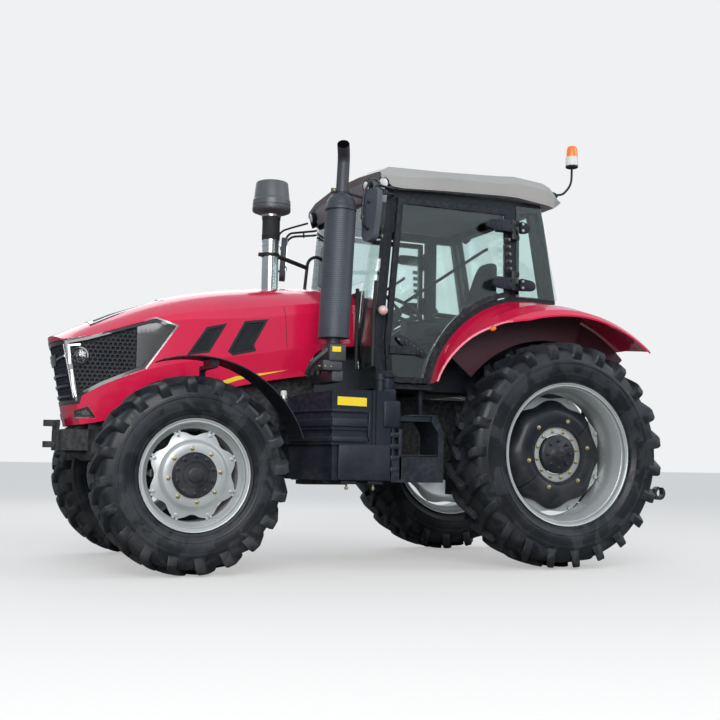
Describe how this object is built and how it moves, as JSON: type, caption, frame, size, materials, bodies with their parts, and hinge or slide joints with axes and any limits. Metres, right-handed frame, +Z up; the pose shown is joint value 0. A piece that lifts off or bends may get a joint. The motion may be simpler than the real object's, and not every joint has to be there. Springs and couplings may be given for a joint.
{
  "type": "farm tractor",
  "caption": "Four-wheel-drive farm tractor with a cab, steered front axle, opening hood and doors, and a rear hitch.",
  "frame": {"origin": "on the ground under the middle of the tractor", "axes": "+X forwards, +Y to the tractor's left, +Z up"},
  "size_m": [5.2, 2.397, 3.4681],
  "materials": {
    "red_paint": "gloss automotive paint",
    "black_paint": "satin black paint",
    "cast_grey": "painted castings",
    "steel_rod": "ground steel",
    "rim_silver": "silver lacquer",
    "tyre_rubber": "matt rubber",
    "dark_plastic": "grained moulding",
    "roof_grey": "satin moulded roof",
    "window_glass": "tinted safety glass",
    "lamp_lens": "clear lens",
    "beacon_amber": "amber lens",
    "exhaust_black": "heat resistant dark paint",
    "intake_chrome": "polished tube",
    "precleaner_grey": "smoked bowl",
    "seat_fabric": "woven cover"
  },
  "bodies": {
    "chassis": {"battery_box": "dark_plastic", "beacon": "beacon_amber", "cab_frame": "black_paint", "cab_roof": "roof_grey", "cab_windows": "window_glass", "dashboard": "dark_plastic", "drawbar": "black_paint", "drive_shaft": "steel_rod", "engine_block": "cast_grey", "exhaust": "exhaust_black", "fender_rear_left": "red_paint", "fender_rear_right": "red_paint", "front_axle": "black_paint", "front_support": "cast_grey", "fuel_tank": "dark_plastic", "gearbox_housing": "cast_grey", "intake_tube": "intake_chrome", "mirrors": "dark_plastic", "precleaner": "precleaner_grey", "radiator": "cast_grey", "rear_axle_housing": "cast_grey", "seat": "seat_fabric", "seat_base": "black_paint", "side_console": "dark_plastic", "steering_wheel": "dark_plastic", "steps": "black_paint", "tail_lamps": "beacon_amber", "top_link": "black_paint", "windscreen": "window_glass", "work_lamps": "lamp_lens"},
    "knuckle_left": {"knuckle_left": "black_paint", "mudguard_front_left": "dark_plastic"},
    "wheel_front_left": {"tyre_front_left": "tyre_rubber", "rim_front_left": "rim_silver", "hub_front_left": "black_paint"},
    "wheel_rear_left": {"tyre_rear_left": "tyre_rubber", "rim_rear_left": "rim_silver", "wheel_weight_left": "black_paint", "hub_rear_left": "black_paint"},
    "door_left": {"door_frame_left": "black_paint", "door_glass_left": "window_glass"},
    "knuckle_right": {"knuckle_right": "black_paint", "mudguard_front_right": "dark_plastic"},
    "wheel_front_right": {"tyre_front_right": "tyre_rubber", "rim_front_right": "rim_silver", "hub_front_right": "black_paint"},
    "wheel_rear_right": {"tyre_rear_right": "tyre_rubber", "rim_rear_right": "rim_silver", "wheel_weight_right": "black_paint", "hub_rear_right": "black_paint"},
    "door_right": {"door_frame_right": "black_paint", "door_glass_right": "window_glass"},
    "hood": {"hood_shell": "red_paint", "hood_grilles": "dark_plastic", "headlamps": "lamp_lens"},
    "steering_rod": {"steering_rod": "steel_rod"},
    "lower_links": {"lower_links": "black_paint"},
    "lift_arms": {"lift_arms": "black_paint"},
    "lift_rods": {"lift_rods": "black_paint"},
    "pto_shaft": {"pto_shaft": "steel_rod"}
  },
  "joints": [
    {"name": "wheel_rear_left_spin", "type": "hinge", "parent": "chassis", "child": "wheel_rear_left", "pos_m": [-1.15, 0.965, 0.87], "axis": [0, 1, 0], "continuous": true},
    {"name": "steer_left", "type": "hinge", "parent": "chassis", "child": "knuckle_left", "pos_m": [1.73, 0.76, 0.676], "axis": [0, 0, 1], "range_deg": [-35, 35]},
    {"name": "wheel_front_left_spin", "type": "hinge", "parent": "knuckle_left", "child": "wheel_front_left", "pos_m": [1.73, 0.925, 0.676], "axis": [0, 1, 0], "continuous": true},
    {"name": "door_left_hinge", "type": "hinge", "parent": "chassis", "child": "door_left", "pos_m": [-0.85, 0.828, 2.1], "axis": [0, 0, 1], "range_deg": [0, 70]},
    {"name": "wheel_rear_right_spin", "type": "hinge", "parent": "chassis", "child": "wheel_rear_right", "pos_m": [-1.15, -0.965, 0.87], "axis": [0, 1, 0], "continuous": true},
    {"name": "steer_right", "type": "hinge", "parent": "chassis", "child": "knuckle_right", "pos_m": [1.73, -0.76, 0.676], "axis": [0, 0, 1], "range_deg": [-35.5, 35.5]},
    {"name": "wheel_front_right_spin", "type": "hinge", "parent": "knuckle_right", "child": "wheel_front_right", "pos_m": [1.73, -0.925, 0.676], "axis": [0, 1, 0], "continuous": true},
    {"name": "door_right_hinge", "type": "hinge", "parent": "chassis", "child": "door_right", "pos_m": [-0.85, -0.828, 2.1], "axis": [0, 0, -1], "range_deg": [0, 70]},
    {"name": "hood_hinge", "type": "hinge", "parent": "chassis", "child": "hood", "pos_m": [0.31, 0, 2.14], "axis": [0, -1, 0], "range_deg": [0, 50]},
    {"name": "steering_rod_slide", "type": "slide", "parent": "chassis", "child": "steering_rod", "axis": [0, 1, 0], "range_m": [-0.118, 0.118]},
    {"name": "lower_links_lift", "type": "hinge", "parent": "chassis", "child": "lower_links", "pos_m": [-1.28, 0, 0.5], "axis": [0, 1, 0], "range_deg": [-12, 25]},
    {"name": "lift_arms_turn", "type": "hinge", "parent": "chassis", "child": "lift_arms", "pos_m": [-1.41, 0, 1.37], "axis": [0, 1, 0], "range_deg": [-12, 25]},
    {"name": "lift_rods_turn", "type": "hinge", "parent": "lift_arms", "child": "lift_rods", "pos_m": [-1.83, 0, 1.39], "axis": [0, 1, 0], "range_deg": [-25, 12]},
    {"name": "pto_spin", "type": "hinge", "parent": "chassis", "child": "pto_shaft", "pos_m": [-1.6, 0, 0.65], "axis": [1, 0, 0], "continuous": true}
  ],
  "couplings": [
    {"joint": "steer_right", "follows": "steer_left", "ratio": 1},
    {"joint": "steering_rod_slide", "follows": "steer_left", "m_per_rad": 0.1878},
    {"joint": "lift_arms_turn", "follows": "lower_links_lift", "ratio": 1},
    {"joint": "lift_rods_turn", "follows": "lower_links_lift", "ratio": -1}
  ]
}
